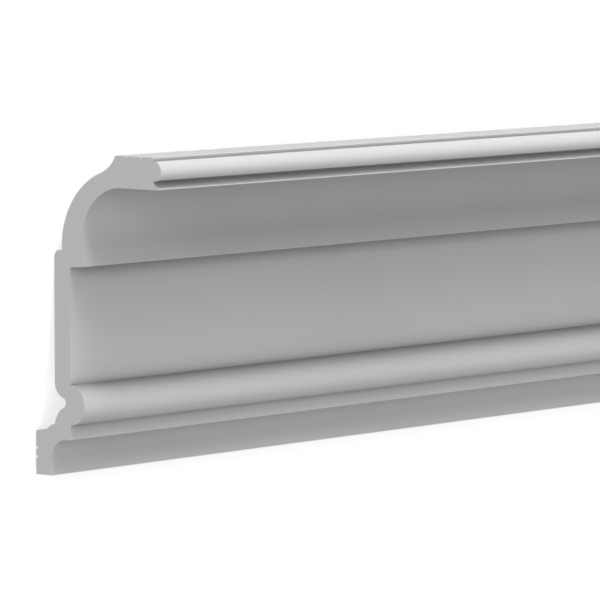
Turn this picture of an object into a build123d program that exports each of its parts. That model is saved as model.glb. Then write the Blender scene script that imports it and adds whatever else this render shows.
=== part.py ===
# Cornice moulding: one length of rigid foam ceiling trim, its back hollowed to follow the face.
# The section is drawn as the moulding hangs: first number = out from the wall, second = up from its foot.
# The finished length lies on its back, show face up, on the heel of its foot and the back of its frieze.
import os
from math import acos, asin, atan2, cos, degrees, hypot, radians, sin, tan
from build123d import *

# Overall
stock_length = 2000.0
height = 200.0

# Foot, the thin flange that meets the wall
foot_thickness = 13.1
foot_cove_radius = 13.0
heel_height = 27.3
heel_round = 0.5

# Band and bead above the foot, and the frieze that they share their front plane with
band_front = 29.7
band_bottom = 23.1
bead_bottom = 32.3
bead_top = 57.3
bead_projection = 12.0
frieze_top = 129.8

# Cove, from the ledge over the frieze up to the underside of the lip
ledge_edge = (42.3, 130.7)
cove_radius = 32.0
cove_end = 72.5
lip_underside = 180.4

# Lip and nose at the ceiling
lip_front = 104.9
lip_hollow_radius = 10.0
quirk = (99.7, 185.2)
nose_underside = (104.4, 186.6)
nose_front = (106.1, 191.3)
nose_top = (102.3, 197.7)
ceiling_front = 99.6

# Back of the cove and of the ceiling flange
ceiling_back = 68.2
throat_radius = 21.7
cove_back_radius = 49.9
cove_back_centre = (72.6, 142.0)

# Back of the frieze
frieze_back = 16.3
shelf_height = 140.0
shelf_round = 4.5
frieze_back_bottom = 58.3

# Hollow behind the bead, and the shoulder above the foot
hollow_top_radius = 9.7
hollow_radius = 3.2
hollow_bottom_radius = 14.0
hollow_bottom_lean = radians(8.5)
shoulder = (16.3, 32.6)
shoulder_foot = (9.4, 28.9)
shoulder_bulge = 0.5

# V grooves that key the adhesive on the wall face and the ceiling face
key_width = 2.2
key_depth = 1.7
wall_keys = (10.9, 16.5)
ceiling_keys = (77.7, 89.7)

# Moulded edges are eased by this much
arris = 0.4


def touching_centre(circle, radius, other, other_radius, side):
    """Centre of a round that touches two circles from outside, to the given side of the line between them."""
    across, along = other[0] - circle[0], other[1] - circle[1]
    gap = hypot(across, along)
    reach = (gap**2 + radius**2 - other_radius**2) / (2 * gap)
    offset = side * (radius**2 - reach**2) ** 0.5
    return (
        circle[0] + (across * reach - along * offset) / gap,
        circle[1] + (along * reach + across * offset) / gap,
    )


def touching_point(place, centre, radius):
    """Where a straight line from a place touches a circle, on the circle's far side clockwise."""
    away = atan2(place[1] - centre[1], place[0] - centre[0])
    angle = away - acos(radius / hypot(place[0] - centre[0], place[1] - centre[1]))
    return (centre[0] + radius * cos(angle), centre[1] + radius * sin(angle))


def between(circle, radius, other):
    """The point of a circle that faces another one's centre."""
    across, along = other[0] - circle[0], other[1] - circle[1]
    gap = hypot(across, along)
    return (circle[0] + across * radius / gap, circle[1] + along * radius / gap)


def round_about(centre, radius, start, end):
    """The shorter arc about a centre, from the direction of one point to that of another."""
    first = degrees(atan2(start[1] - centre[1], start[0] - centre[0]))
    last = degrees(atan2(end[1] - centre[1], end[0] - centre[0]))
    turn = (last - first + 180) % 360 - 180
    return CenterArc(centre, radius, first, turn)


# Throat: the hollow between the ceiling flange and the back of the cove
ceiling_heel = (ceiling_back, height)
throat_centre = touching_centre(
    cove_back_centre, cove_back_radius + throat_radius, ceiling_heel, throat_radius, 1
)
throat_end = between(throat_centre, throat_radius, cove_back_centre)
cove_back_foot = (cove_back_centre[0] - cove_back_radius, cove_back_centre[1])

# Hollow behind the bead: two full rounds with a tight one between them
hollow_top_centre = (frieze_back + hollow_top_radius, frieze_back_bottom)
hollow_bottom_centre = (
    shoulder[0] + hollow_bottom_radius * cos(hollow_bottom_lean),
    shoulder[1] - hollow_bottom_radius * sin(hollow_bottom_lean),
)
hollow_centre = touching_centre(
    hollow_top_centre,
    hollow_top_radius + hollow_radius,
    hollow_bottom_centre,
    hollow_bottom_radius + hollow_radius,
    -1,
)
hollow_start = between(hollow_top_centre, hollow_top_radius, hollow_centre)
hollow_end = between(hollow_bottom_centre, hollow_bottom_radius, hollow_centre)

# Lying on its back, the moulding touches the floor along the heel of its foot and the shelf's round
heel_slope = atan2(shoulder_foot[1] - heel_height, shoulder_foot[0])
heel_centre = (heel_round, heel_height + heel_round * (tan(heel_slope) - 1 / cos(heel_slope)))
shelf_centre = (frieze_back + shelf_round, shelf_height - shelf_round)
rest_out, rest_up = shelf_centre[0] - heel_centre[0], shelf_centre[1] - heel_centre[1]
tilt = atan2(rest_out, rest_up) - asin((shelf_round - heel_round) / hypot(rest_out, rest_up))
lying_depth = ceiling_front * sin(tilt) + height * cos(tilt)
toe_clearance = heel_centre[1] * sin(tilt) - heel_centre[0] * cos(tilt) + heel_round
lying = Plane(
    origin=(0, -lying_depth / 2, toe_clearance),
    x_dir=(0, sin(tilt), cos(tilt)),
    z_dir=(-1, 0, 0),
)

with BuildPart() as moulding:
    with BuildSketch(lying) as section:
        with BuildLine():
            # Foot, its cove and the band
            foot_cove_centre = (foot_thickness + foot_cove_radius, band_bottom - foot_cove_radius)
            foot_cove_start = (foot_thickness, foot_cove_centre[1])
            foot_cove_end = (foot_cove_centre[0], band_bottom)
            Polyline((0, heel_height), (0, 0), (foot_thickness, 0), foot_cove_start)
            round_about(foot_cove_centre, foot_cove_radius, foot_cove_start, foot_cove_end)
            Polyline(foot_cove_end, (band_front, band_bottom), (band_front, bead_bottom))
            # Bead and frieze
            bead_front = (band_front + bead_projection, (bead_bottom + bead_top) / 2)
            ThreePointArc((band_front, bead_bottom), bead_front, (band_front, bead_top))
            # Ledge and cove
            cove_centre = (cove_end, lip_underside - cove_radius)
            cove_start = touching_point(ledge_edge, cove_centre, cove_radius)
            Polyline((band_front, bead_top), (band_front, frieze_top), ledge_edge, cove_start)
            round_about(cove_centre, cove_radius, cove_start, (cove_end, lip_underside))
            # Lip, quirk, nose and the step behind the nose
            lip_edge = (lip_front, lip_underside)
            Line((cove_end, lip_underside), lip_edge)
            RadiusArc(lip_edge, quirk, lip_hollow_radius)
            Line(quirk, nose_underside)
            ThreePointArc(nose_underside, nose_front, nose_top)
            Polyline(nose_top, (ceiling_front, nose_top[1]), (ceiling_front, height), ceiling_heel)
            # Throat and back of the cove
            round_about(throat_centre, throat_radius, ceiling_heel, throat_end)
            round_about(cove_back_centre, cove_back_radius, throat_end, cove_back_foot)
            # Shelf and back of the frieze
            shelf_end = (shelf_centre[0], shelf_height)
            frieze_back_top = (frieze_back, shelf_centre[1])
            Polyline(cove_back_foot, (cove_back_foot[0], shelf_height), shelf_end)
            round_about(shelf_centre, shelf_round, shelf_end, frieze_back_top)
            Line(frieze_back_top, (frieze_back, frieze_back_bottom))
            # Hollow behind the bead, shoulder and heel
            round_about(
                hollow_top_centre, hollow_top_radius, (frieze_back, frieze_back_bottom), hollow_start
            )
            round_about(hollow_centre, hollow_radius, hollow_start, hollow_end)
            round_about(hollow_bottom_centre, hollow_bottom_radius, hollow_end, shoulder)
            SagittaArc(shoulder, shoulder_foot, -shoulder_bulge)
            Line(shoulder_foot, (0, heel_height))
        make_face()

        def corner(place):
            return section.vertices().sort_by_distance(place)[0]

        # Moulded edges
        eased = [
            (0, 0),
            (foot_thickness, 0),
            (band_front, band_bottom),
            ledge_edge,
            lip_edge,
            (ceiling_front, height),
            ceiling_heel,
        ]
        fillet([corner(place) for place in eased], radius=arris)
        fillet(corner((0, heel_height)), radius=heel_round)

        # Adhesive keys
        key = [(0, -key_width / 2), (key_depth, 0), (0, key_width / 2)]
        with Locations(*[(0, up) for up in wall_keys]):
            Polygon(*key, mode=Mode.SUBTRACT)
        with Locations(*[(out, height) for out in ceiling_keys]):
            Polygon(*key, rotation=-90, mode=Mode.SUBTRACT)
    extrude(amount=stock_length / 2, both=True)

os.makedirs("parts", exist_ok=True)
moulding.part.label = "cornice_moulding"
export_step(moulding.part, "parts/cornice_moulding.step")
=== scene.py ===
# Cornice moulding: a two metre length of primed foam ceiling trim. It lies on its back on a white floor,
# and the camera looks down on it so that it shows as it would hang on a wall.
import math

import bpy
from mathutils import Matrix, Vector


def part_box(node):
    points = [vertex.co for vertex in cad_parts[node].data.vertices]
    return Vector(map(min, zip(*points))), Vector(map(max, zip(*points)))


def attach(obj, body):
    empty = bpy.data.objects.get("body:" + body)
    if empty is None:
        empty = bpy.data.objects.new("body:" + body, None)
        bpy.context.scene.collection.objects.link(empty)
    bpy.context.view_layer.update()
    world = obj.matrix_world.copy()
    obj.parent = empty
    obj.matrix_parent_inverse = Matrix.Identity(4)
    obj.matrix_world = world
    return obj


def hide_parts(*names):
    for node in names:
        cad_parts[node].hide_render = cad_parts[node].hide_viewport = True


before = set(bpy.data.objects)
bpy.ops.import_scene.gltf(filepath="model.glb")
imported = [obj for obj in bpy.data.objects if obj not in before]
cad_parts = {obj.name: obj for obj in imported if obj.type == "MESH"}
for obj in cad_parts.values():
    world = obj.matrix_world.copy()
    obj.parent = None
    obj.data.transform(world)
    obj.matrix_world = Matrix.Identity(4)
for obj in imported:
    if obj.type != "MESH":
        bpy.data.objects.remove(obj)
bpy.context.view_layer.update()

node = "cornice_moulding"
low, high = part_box(node)

# The section as it hangs, in metres: first number = out from the wall, second = up from its foot
height = 0.2

# Foot, the thin flange that meets the wall
foot_thickness = 0.0131
foot_cove_radius = 0.013
heel_height = 0.0273
heel_round = 0.0005

# Band and bead above the foot, and the frieze that they share their front plane with
band_front = 0.0297
band_bottom = 0.0231
bead_bottom = 0.0323
bead_top = 0.0573
bead_projection = 0.012
frieze_top = 0.1298

# Cove, from the ledge over the frieze up to the underside of the lip
ledge_edge = (0.0423, 0.1307)
cove_radius = 0.032
cove_end = 0.0725
lip_underside = 0.1804

# Lip and nose at the ceiling
lip_front = 0.1049
lip_hollow_radius = 0.01
quirk = (0.0997, 0.1852)
nose_underside = (0.1044, 0.1866)
nose_front = (0.1061, 0.1913)
nose_top = (0.1023, 0.1977)
ceiling_front = 0.0996

# Back of the cove and of the ceiling flange
ceiling_back = 0.0682
throat_radius = 0.0217
cove_back_radius = 0.0499
cove_back_centre = (0.0726, 0.142)

# Back of the frieze
frieze_back = 0.0163
shelf_height = 0.14
shelf_round = 0.0045
frieze_back_bottom = 0.0583

# Hollow behind the bead, and the shoulder above the foot
hollow_top_radius = 0.0097
hollow_radius = 0.0032
hollow_bottom_radius = 0.014
hollow_bottom_lean = math.radians(8.5)
shoulder = (0.0163, 0.0326)
shoulder_foot = (0.0094, 0.0289)
shoulder_bulge = 0.0005

# V grooves that key the adhesive on the wall face and the ceiling face
key_width = 0.0022
key_depth = 0.0017
wall_keys = (0.0109, 0.0165)
ceiling_keys = (0.0777, 0.0897)

# Moulded edges are eased by this much
arris = 0.0004

# How finely the section is divided
finest_turn = math.radians(4)
longest_chord = 0.002
longest_flat = 0.012
flat_margin = 0.0012
spans_along = 80
crease_angle = math.radians(25)

# The photograph's camera, told as the moulding hangs
picture_width = 600
focal_length_pixels = 5155
camera_distance = 3.1888
camera_turn = math.radians(48.5)
camera_rise = math.radians(5.2)
foot_pixel = (35.8, 473.4)
sensor_width = 36

# Every lamp is this wide, as an angle seen from the moulding
lamp_spread = math.radians(30)

# Painted shade in the primer's colour, darker where the moulding's own faces close it in: how far off they
# count, and how much
painted_shade_reach = 0.25
painted_shade_strength = 0.7


def point_at(centre, radius, angle):
    """A point on a circle."""
    return (centre[0] + radius * math.cos(angle), centre[1] + radius * math.sin(angle))


def heading(start, end):
    """The direction from one point to another, as an angle."""
    return math.atan2(end[1] - start[1], end[0] - start[0])


def touching_centre(circle, radius, other, other_radius, side):
    """Centre of a round that touches two circles from outside, to the given side of the line between them."""
    gap = math.dist(circle, other)
    reach = (gap**2 + radius**2 - other_radius**2) / (2 * gap)
    return point_at(circle, radius, heading(circle, other) + side * math.acos(reach / radius))


def touching_point(place, centre, radius):
    """Where a straight line from a place touches a circle, on the circle's far side clockwise."""
    return point_at(centre, radius, heading(centre, place) - math.acos(radius / math.dist(centre, place)))


def centre_through(start, middle, end):
    """Centre of the circle through three points."""
    first, second = Vector(start), Vector(middle)
    third = Vector(end)
    one, two = second - first, third - first
    double_area = 2 * (one.x * two.y - one.y * two.x)
    x = (two.y * one.length_squared - one.y * two.length_squared) / double_area
    y = (one.x * two.length_squared - two.x * one.length_squared) / double_area
    return (first.x + x, first.y + y)


def centre_beside(start, end, radius):
    """Centre of an arc between two points that hollows the right-hand side of the way between them."""
    half = math.dist(start, end) / 2
    middle = ((start[0] + end[0]) / 2, (start[1] + end[1]) / 2)
    return point_at(middle, math.sqrt(radius**2 - half**2), heading(start, end) - math.pi / 2)


def straight(*corners):
    """Points along straight runs. Each long flat has a point near both ends, which keeps its shading flat."""
    points = [corners[0]]
    for start, end in zip(corners, corners[1:]):
        length = math.dist(start, end)
        stops = [1.0]
        if length > 3 * flat_margin:
            middle = length - 2 * flat_margin
            pieces = math.ceil(middle / longest_flat)
            stops = [(flat_margin + middle * i / pieces) / length for i in range(pieces + 1)] + stops
        across, up = end[0] - start[0], end[1] - start[1]
        points += [(start[0] + across * stop, start[1] + up * stop) for stop in stops[:-1]]
        points.append(end)
    return points


def curved(centre, start, end):
    """Points along the shorter arc about a centre, from one point to another."""
    radius = math.dist(centre, start)
    first = heading(centre, start)
    turn = (heading(centre, end) - first + math.pi) % (2 * math.pi) - math.pi
    steps = math.ceil(abs(turn) * max(1 / finest_turn, radius / longest_chord))
    return [start, *(point_at(centre, radius, first + turn * i / steps) for i in range(1, steps)), end]


def key_groove(place, along):
    """The three points of a V groove that is met on the way along a face, with the foam on the left."""
    mouth, depth = key_width / 2, key_depth
    return [
        point_at(place, mouth, along + math.pi),
        point_at(place, depth, along + math.pi / 2),
        point_at(place, mouth, along),
    ]


def eased(before, corner, after, radius):
    """A small round in place of a corner between two points."""
    arriving, leaving = heading(before, corner), heading(corner, after)
    turn = (leaving - arriving + math.pi) % (2 * math.pi) - math.pi
    setback = radius * math.tan(abs(turn) / 2)
    start = point_at(corner, setback, arriving + math.pi)
    centre = point_at(start, radius, arriving + math.copysign(math.pi / 2, turn))
    steps = math.ceil(abs(turn) / (4 * finest_turn))
    first = heading(centre, start)
    return [point_at(centre, radius, first + turn * i / steps) for i in range(steps + 1)]


def foot_and_band():
    """From the foot's wall face round its end, up its cove and the band."""
    cove_centre = (foot_thickness + foot_cove_radius, band_bottom - foot_cove_radius)
    cove_foot = (foot_thickness, cove_centre[1])
    cove_top = (cove_centre[0], band_bottom)
    grooves = [point for up in reversed(wall_keys) for point in key_groove((0, up), -math.pi / 2)]
    return [
        *straight((0, heel_height), *grooves, (0, 0), (foot_thickness, 0), cove_foot),
        *curved(cove_centre, cove_foot, cove_top),
        *straight(cove_top, (band_front, band_bottom), (band_front, bead_bottom)),
    ]


def bead_and_cove():
    """The bead, the frieze, the ledge and the cove up to the lip."""
    start, end = (band_front, bead_bottom), (band_front, bead_top)
    front = (band_front + bead_projection, (bead_bottom + bead_top) / 2)
    cove_centre = (cove_end, lip_underside - cove_radius)
    cove_start = touching_point(ledge_edge, cove_centre, cove_radius)
    return [
        *curved(centre_through(start, front, end), start, end),
        *straight(end, (band_front, frieze_top), ledge_edge, cove_start),
        *curved(cove_centre, cove_start, (cove_end, lip_underside)),
    ]


def lip_and_nose():
    """The lip with its eased edge, the quirk, the nose, the step behind it and the ceiling face."""
    hollow_centre = centre_beside((lip_front, lip_underside), quirk, lip_hollow_radius)
    above = hollow_centre[1] - (lip_underside + arris)
    across = math.sqrt((lip_hollow_radius + arris) ** 2 - above**2)
    edge_centre = (hollow_centre[0] - across, lip_underside + arris)
    edge_start = (edge_centre[0], lip_underside)
    edge_end = point_at(edge_centre, arris, heading(edge_centre, hollow_centre))
    grooves = [point for out in reversed(ceiling_keys) for point in key_groove((out, height), math.pi)]
    return [
        *straight((cove_end, lip_underside), edge_start),
        *curved(edge_centre, edge_start, edge_end),
        *curved(hollow_centre, edge_end, quirk),
        *straight(quirk, nose_underside),
        *curved(centre_through(nose_underside, nose_front, nose_top), nose_underside, nose_top),
        *straight(nose_top, (ceiling_front, nose_top[1]), (ceiling_front, height)),
        *straight((ceiling_front, height), *grooves, (ceiling_back, height)),
    ]


def back():
    """The throat, the back of the cove, the shelf, the back of the frieze, the hollow and the shoulder."""
    heel = (ceiling_back, height)
    throat_reach = cove_back_radius + throat_radius
    throat_centre = touching_centre(cove_back_centre, throat_reach, heel, throat_radius, 1)
    throat_end = point_at(cove_back_centre, cove_back_radius, heading(cove_back_centre, throat_centre))
    cove_back_foot = (cove_back_centre[0] - cove_back_radius, cove_back_centre[1])
    shelf_end = (shelf_centre[0], shelf_height)
    frieze_top_back = (frieze_back, shelf_centre[1])
    frieze_foot_back = (frieze_back, frieze_back_bottom)
    top_centre = (frieze_back + hollow_top_radius, frieze_back_bottom)
    bottom_centre = point_at(shoulder, hollow_bottom_radius, -hollow_bottom_lean)
    hollow_centre = touching_centre(
        top_centre, hollow_top_radius + hollow_radius, bottom_centre, hollow_bottom_radius + hollow_radius, -1
    )
    hollow_start = point_at(top_centre, hollow_top_radius, heading(top_centre, hollow_centre))
    hollow_end = point_at(bottom_centre, hollow_bottom_radius, heading(bottom_centre, hollow_centre))
    chord_middle = ((shoulder[0] + shoulder_foot[0]) / 2, (shoulder[1] + shoulder_foot[1]) / 2)
    crown = point_at(chord_middle, shoulder_bulge, heading(shoulder, shoulder_foot) - math.pi / 2)
    return [
        *curved(throat_centre, heel, throat_end),
        *curved(cove_back_centre, throat_end, cove_back_foot),
        *straight(cove_back_foot, (cove_back_foot[0], shelf_height), shelf_end),
        *curved(shelf_centre, shelf_end, frieze_top_back),
        *straight(frieze_top_back, frieze_foot_back),
        *curved(top_centre, frieze_foot_back, hollow_start),
        *curved(hollow_centre, hollow_start, hollow_end),
        *curved(bottom_centre, hollow_end, shoulder),
        *curved(centre_through(shoulder, crown, shoulder_foot), shoulder, shoulder_foot),
        *straight(shoulder_foot, (0, heel_height)),
    ]


def section_outline():
    """The whole section, anticlockwise, with its moulded edges eased."""
    rounds = {
        (0, heel_height): heel_round,
        (0, 0): arris,
        (foot_thickness, 0): arris,
        (band_front, band_bottom): arris,
        ledge_edge: arris,
        (ceiling_front, height): arris,
        (ceiling_back, height): arris,
    }
    raw = []
    for point in foot_and_band() + bead_and_cove() + lip_and_nose() + back():
        if not raw or math.dist(point, raw[-1]) > 1e-7:
            raw.append(point)
    if math.dist(raw[0], raw[-1]) < 1e-7:
        raw.pop()
    outline = []
    for i, point in enumerate(raw):
        if point in rounds:
            outline += eased(raw[i - 1], point, raw[(i + 1) % len(raw)], rounds[point])
        else:
            outline.append(point)
    return outline


# Lying on its back, the moulding touches the floor along the heel of its foot and the shelf's round
heel_slope = heading((0, heel_height), shoulder_foot)
heel_centre = (heel_round, heel_height + heel_round * (math.tan(heel_slope) - 1 / math.cos(heel_slope)))
shelf_centre = (frieze_back + shelf_round, shelf_height - shelf_round)
bearing_length = math.dist(heel_centre, shelf_centre)
bearing_lean = math.asin((shelf_round - heel_round) / bearing_length)
tilt = math.pi / 2 - heading(heel_centre, shelf_centre) - bearing_lean
along = Vector((1, 0, 0))
outward = Vector((0, math.sin(tilt), math.cos(tilt)))
upward = Vector((0, math.cos(tilt), -math.sin(tilt)))
toe = Vector((
    0,
    -(ceiling_front * math.sin(tilt) + height * math.cos(tilt)) / 2,
    heel_centre[1] * math.sin(tilt) - heel_centre[0] * math.cos(tilt) + heel_round,
))


def axes_and_place(x_axis, y_axis, z_axis, place):
    """The matrix that takes a thing with these axes to this place."""
    return Matrix.Translation(place) @ Matrix((x_axis, y_axis, z_axis)).transposed().to_4x4()


def moulding_run():
    """Geometry Nodes that sweep a closed section along Z and give its sawn ends their own finish."""
    tree = bpy.data.node_groups.new("moulding_run", "GeometryNodeTree")
    tree.interface.new_socket("Section", in_out="INPUT", socket_type="NodeSocketGeometry")
    tree.interface.new_socket("Length", in_out="INPUT", socket_type="NodeSocketFloat")
    tree.interface.new_socket("Spans", in_out="INPUT", socket_type="NodeSocketInt")
    tree.interface.new_socket("Face finish", in_out="INPUT", socket_type="NodeSocketMaterial")
    tree.interface.new_socket("End finish", in_out="INPUT", socket_type="NodeSocketMaterial")
    tree.interface.new_socket("Moulding", in_out="OUTPUT", socket_type="NodeSocketGeometry")
    node_of = tree.nodes.new
    link = tree.links.new
    given = node_of("NodeGroupInput").outputs
    result = node_of("NodeGroupOutput").inputs

    section = node_of("GeometryNodeMeshToCurve")
    link(given["Section"], section.inputs["Mesh"])

    line = node_of("GeometryNodeCurvePrimitiveLine")
    line.inputs["Start"].default_value = (0, 0, 0)
    end = node_of("ShaderNodeCombineXYZ")
    link(given["Length"], end.inputs["Z"])
    link(end.outputs["Vector"], line.inputs["End"])

    stations = node_of("ShaderNodeMath")
    stations.operation = "ADD"
    stations.inputs[1].default_value = 1
    link(given["Spans"], stations.inputs[0])
    path = node_of("GeometryNodeResampleCurve")
    link(line.outputs["Curve"], path.inputs["Curve"])
    link(stations.outputs["Value"], path.inputs["Count"])

    run = node_of("GeometryNodeCurveToMesh")
    run.inputs["Fill Caps"].default_value = True
    link(path.outputs["Curve"], run.inputs["Curve"])
    link(section.outputs["Curve"], run.inputs["Profile Curve"])

    normal = node_of("GeometryNodeInputNormal")
    parts = node_of("ShaderNodeSeparateXYZ")
    link(normal.outputs["Normal"], parts.inputs["Vector"])
    lengthwise = node_of("ShaderNodeMath")
    lengthwise.operation = "ABSOLUTE"
    link(parts.outputs["Z"], lengthwise.inputs[0])
    is_end = node_of("ShaderNodeMath")
    is_end.operation = "GREATER_THAN"
    is_end.inputs[1].default_value = 0.5
    link(lengthwise.outputs["Value"], is_end.inputs[0])

    realized = node_of("GeometryNodeRealizeInstances")
    link(run.outputs["Mesh"], realized.inputs["Geometry"])
    faces = node_of("GeometryNodeSetMaterial")
    link(realized.outputs["Geometry"], faces.inputs["Geometry"])
    link(given["Face finish"], faces.inputs["Material"])
    ends = node_of("GeometryNodeSetMaterial")
    link(faces.outputs["Geometry"], ends.inputs["Geometry"])
    link(is_end.outputs["Value"], ends.inputs["Selection"])
    link(given["End finish"], ends.inputs["Material"])
    link(ends.outputs["Geometry"], result["Moulding"])
    return tree


def give(modifier, **values):
    """Sets a Geometry Nodes modifier's inputs, found by their names, through their identifiers."""
    names = {name.replace("_", " "): value for name, value in values.items()}
    for item in modifier.node_group.interface.items_tree:
        if item.item_type == "SOCKET" and item.in_out == "INPUT" and item.name in names:
            modifier[item.identifier] = names[item.name]


def cornice_moulding(face_finish, end_finish):
    """The moulding, swept upright from its section, then laid on its back where the solid is."""
    outline = section_outline()
    count = len(outline)
    mesh = bpy.data.meshes.new("section")
    mesh.from_pydata([(x, y, 0) for x, y in outline], [(i, (i + 1) % count) for i in range(count)], [])
    section = bpy.data.objects.new("section", mesh)
    bpy.context.scene.collection.objects.link(section)
    modifier = section.modifiers.new("moulding_run", "NODES")
    modifier.node_group = moulding_run()
    give(
        modifier,
        Length=high.x - low.x,
        Spans=spans_along,
        Face_finish=face_finish,
        End_finish=end_finish,
    )
    depsgraph = bpy.context.evaluated_depsgraph_get()
    swept = bpy.data.meshes.new_from_object(section.evaluated_get(depsgraph), depsgraph=depsgraph)
    section.modifiers.clear()
    bpy.data.objects.remove(section)
    swept.transform(axes_and_place(outward, upward, -along, toe + along * high.x))
    swept.shade_smooth()
    swept.set_sharp_from_angle(angle=crease_angle)
    piece = bpy.data.objects.new("moulding", swept)
    bpy.context.scene.collection.objects.link(piece)
    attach(piece, "root")
    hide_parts(node)
    return piece


def principled(name):
    """A material with its node tree's shader and object coordinates."""
    material = bpy.data.materials.new(name)
    material.use_nodes = True
    tree = material.node_tree
    shader = tree.nodes["Principled BSDF"]
    coordinates = tree.nodes.new("ShaderNodeTexCoord").outputs["Object"]
    return material, tree, shader, coordinates


def noise(tree, coordinates, size, detail):
    """Noise with features of about this size in metres."""
    texture = tree.nodes.new("ShaderNodeTexNoise")
    texture.inputs["Scale"].default_value = 1 / size
    texture.inputs["Detail"].default_value = detail
    tree.links.new(coordinates, texture.inputs["Vector"])
    return texture.outputs["Fac"]


def mapped(tree, value, start, end):
    """A 0 to 1 value, mapped from its busy middle to a range."""
    node_range = tree.nodes.new("ShaderNodeMapRange")
    node_range.inputs["From Min"].default_value = 0.3
    node_range.inputs["From Max"].default_value = 0.7
    node_range.inputs["To Min"].default_value = start
    node_range.inputs["To Max"].default_value = end
    tree.links.new(value, node_range.inputs["Value"])
    return node_range.outputs["Result"]


def grey(tree, value):
    """A grey of this value as a colour."""
    colour = tree.nodes.new("ShaderNodeCombineColor")
    for channel in ("Red", "Green", "Blue"):
        tree.links.new(value, colour.inputs[channel])
    return colour.outputs["Color"]


def bumped(tree, value, depth, under=None):
    """A bump of this depth in metres, over another one where one is given."""
    bump = tree.nodes.new("ShaderNodeBump")
    bump.inputs["Distance"].default_value = depth
    tree.links.new(value, bump.inputs["Height"])
    if under is not None:
        tree.links.new(under, bump.inputs["Normal"])
    return bump.outputs["Normal"]


def with_painted_shade(tree, tone, reach, strength):
    """Painted shade: the tone, darkened where the moulding's own faces close a spot in within this reach in
    metres.
    """
    openness = tree.nodes.new("ShaderNodeAmbientOcclusion")
    openness.only_local = True
    openness.inputs["Distance"].default_value = reach
    openness.inputs["Color"].default_value = (1, 1, 1, 1)
    share = tree.nodes.new("ShaderNodeMath")
    share.operation = "POWER"
    share.inputs[1].default_value = strength
    tree.links.new(openness.outputs["AO"], share.inputs[0])
    darker = tree.nodes.new("ShaderNodeMath")
    darker.operation = "MULTIPLY"
    tree.links.new(tone, darker.inputs[0])
    tree.links.new(share.outputs["Value"], darker.inputs[1])
    return darker.outputs["Value"]


def matt_primer():
    """Matt white primer: a fine eggshell skin over slightly uneven foam, with painted shade darkening its
    colour in its hollows.
    """
    material, tree, shader, place = principled("matt_white_primer")
    tone = mapped(tree, noise(tree, place, 0.09, 2), 0.85, 0.87)
    # Painted shade: the primer's colour is darkened in its hollows and quirks, where shade falls
    tone = with_painted_shade(tree, tone, painted_shade_reach, painted_shade_strength)
    tree.links.new(grey(tree, tone), shader.inputs["Base Color"])
    sheen = mapped(tree, noise(tree, place, 0.02, 3), 0.58, 0.68)
    tree.links.new(sheen, shader.inputs["Roughness"])
    waves = bumped(tree, noise(tree, place, 0.02, 1), 0.00006)
    skin = bumped(tree, noise(tree, place, 0.0014, 2), 0.00001, waves)
    tree.links.new(skin, shader.inputs["Normal"])
    shader.inputs["Specular IOR Level"].default_value = 0.3
    return material


def sawn_foam():
    """The sawn end: fine closed cells, opened by the saw."""
    material, tree, shader, place = principled("sawn_foam")
    cells = tree.nodes.new("ShaderNodeTexVoronoi")
    cells.inputs["Scale"].default_value = 1 / 0.0005
    tree.links.new(place, cells.inputs["Vector"])
    tone = mapped(tree, cells.outputs["Distance"], 0.83, 0.87)
    tree.links.new(grey(tree, tone), shader.inputs["Base Color"])
    shader.inputs["Roughness"].default_value = 0.8
    torn = bumped(tree, noise(tree, place, 0.004, 2), 0.00003)
    pores = bumped(tree, cells.outputs["Distance"], 0.00003, torn)
    tree.links.new(pores, shader.inputs["Normal"])
    shader.inputs["Specular IOR Level"].default_value = 0.2
    return material


def seen_directly(tree):
    """1 for rays from the camera or off a mirror or through glass, 0 for rays that only gather light."""
    rays = tree.nodes.new("ShaderNodeLightPath")
    total = rays.outputs["Is Camera Ray"]
    for name in ("Is Glossy Ray", "Is Transmission Ray"):
        either = tree.nodes.new("ShaderNodeMath")
        either.operation = "MAXIMUM"
        tree.links.new(total, either.inputs[0])
        tree.links.new(rays.outputs[name], either.inputs[1])
        total = either.outputs["Value"]
    return total


def white_floor():
    """A plain pale floor, which shows white with the moulding's soft shadow on it."""
    half = 6
    mesh = bpy.data.meshes.new("floor")
    corners = [(-half, -half, 0), (half, -half, 0), (half, half, 0), (-half, half, 0)]
    mesh.from_pydata(corners, [], [(0, 1, 2, 3)])
    floor = bpy.data.objects.new("floor", mesh)
    bpy.context.scene.collection.objects.link(floor)
    material = bpy.data.materials.new("white_floor")
    material.use_nodes = True
    tree = material.node_tree
    tree.nodes.remove(tree.nodes["Principled BSDF"])
    paint = tree.nodes.new("ShaderNodeBsdfDiffuse")
    paint.inputs["Color"].default_value = (0.8, 0.8, 0.8, 1)
    glow = tree.nodes.new("ShaderNodeEmission")
    strength = tree.nodes.new("ShaderNodeMath")
    strength.operation = "MULTIPLY"
    strength.inputs[1].default_value = 0.7
    tree.links.new(seen_directly(tree), strength.inputs[0])
    tree.links.new(strength.outputs["Value"], glow.inputs["Strength"])
    both = tree.nodes.new("ShaderNodeAddShader")
    tree.links.new(paint.outputs["BSDF"], both.inputs[0])
    tree.links.new(glow.outputs["Emission"], both.inputs[1])
    tree.links.new(both.outputs["Shader"], tree.nodes["Material Output"].inputs["Surface"])
    mesh.materials.append(material)
    return floor


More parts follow.
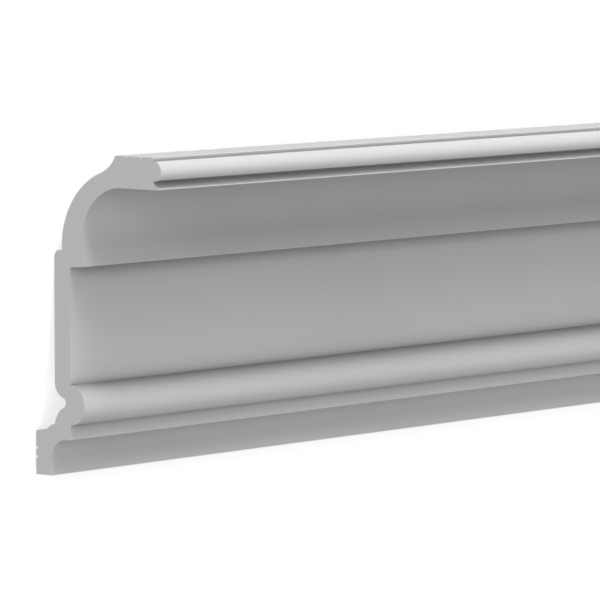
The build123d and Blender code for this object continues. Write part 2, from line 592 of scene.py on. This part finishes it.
def studio_world(ambient):
    """Even light from all round, with a white backdrop behind the floor."""
    world = bpy.data.worlds.new("studio")
    bpy.context.scene.world = world
    world.use_nodes = True
    tree = world.node_tree
    fill = tree.nodes["Background"]
    fill.inputs["Color"].default_value = (1, 1, 1, 1)
    fill.inputs["Strength"].default_value = ambient
    white = tree.nodes.new("ShaderNodeBackground")
    white.inputs["Color"].default_value = (1, 1, 1, 1)
    white.inputs["Strength"].default_value = 1
    choice = tree.nodes.new("ShaderNodeMixShader")
    tree.links.new(seen_directly(tree), choice.inputs["Fac"])
    tree.links.new(fill.outputs["Background"], choice.inputs[1])
    tree.links.new(white.outputs["Background"], choice.inputs[2])
    tree.links.new(choice.outputs["Shader"], tree.nodes["World Output"].inputs["Surface"])


def soft_lamp(name, turn, rise, strength):
    """A distant lamp, turned from straight in front towards the near end and raised towards the ceiling."""
    lamp = bpy.data.objects.new(name, bpy.data.lights.new(name, "SUN"))
    bpy.context.scene.collection.objects.link(lamp)
    lamp.data.energy = strength
    lamp.data.angle = lamp_spread
    turn, rise = math.radians(turn), math.radians(rise)
    ahead = outward * math.cos(rise) + upward * math.sin(rise)
    to_lamp = ahead * math.cos(turn) - along * math.sin(turn)
    lamp.rotation_mode = "QUATERNION"
    lamp.rotation_quaternion = to_lamp.to_track_quat("Z", "Y")
    return lamp


def photograph_camera():
    """The camera of the photograph. Its foot_pixel shows the foot's bottom back corner at the near end."""
    turn, rise = camera_turn, camera_rise
    right = along * math.cos(turn) + outward * math.sin(turn)
    level = along * math.sin(turn) - outward * math.cos(turn)
    forward = level * math.cos(rise) - upward * math.sin(rise)
    up = level * math.sin(rise) + upward * math.cos(rise)
    middle = (picture_width - 1) / 2
    metres_per_pixel = camera_distance / focal_length_pixels
    aside = (foot_pixel[0] - middle) * metres_per_pixel
    above = (middle - foot_pixel[1]) * metres_per_pixel
    corner = toe + along * low.x
    place = corner - right * aside - up * above - forward * camera_distance
    camera = bpy.data.objects.new("camera", bpy.data.cameras.new("camera"))
    bpy.context.scene.collection.objects.link(camera)
    camera.data.sensor_width = sensor_width
    camera.data.lens = sensor_width * focal_length_pixels / picture_width
    camera.data.clip_end = 100
    camera.matrix_world = axes_and_place(right, up, -forward, place)
    bpy.context.scene.camera = camera


cornice_moulding(matt_primer(), sawn_foam())
white_floor()
photograph_camera()
studio_world(0.2)
soft_lamp("ceiling side", 0, 75, 1.5)
soft_lamp("high front", 0, 60, 0.8)
soft_lamp("near end", 60, 25, 1.1)
soft_lamp("low front", 30, -35, 0.5)

# No light passes on from face to face, because the photograph looks lit in that plain way
bpy.context.scene.cycles.diffuse_bounces = 0
bpy.context.scene.view_settings.view_transform = "Standard"
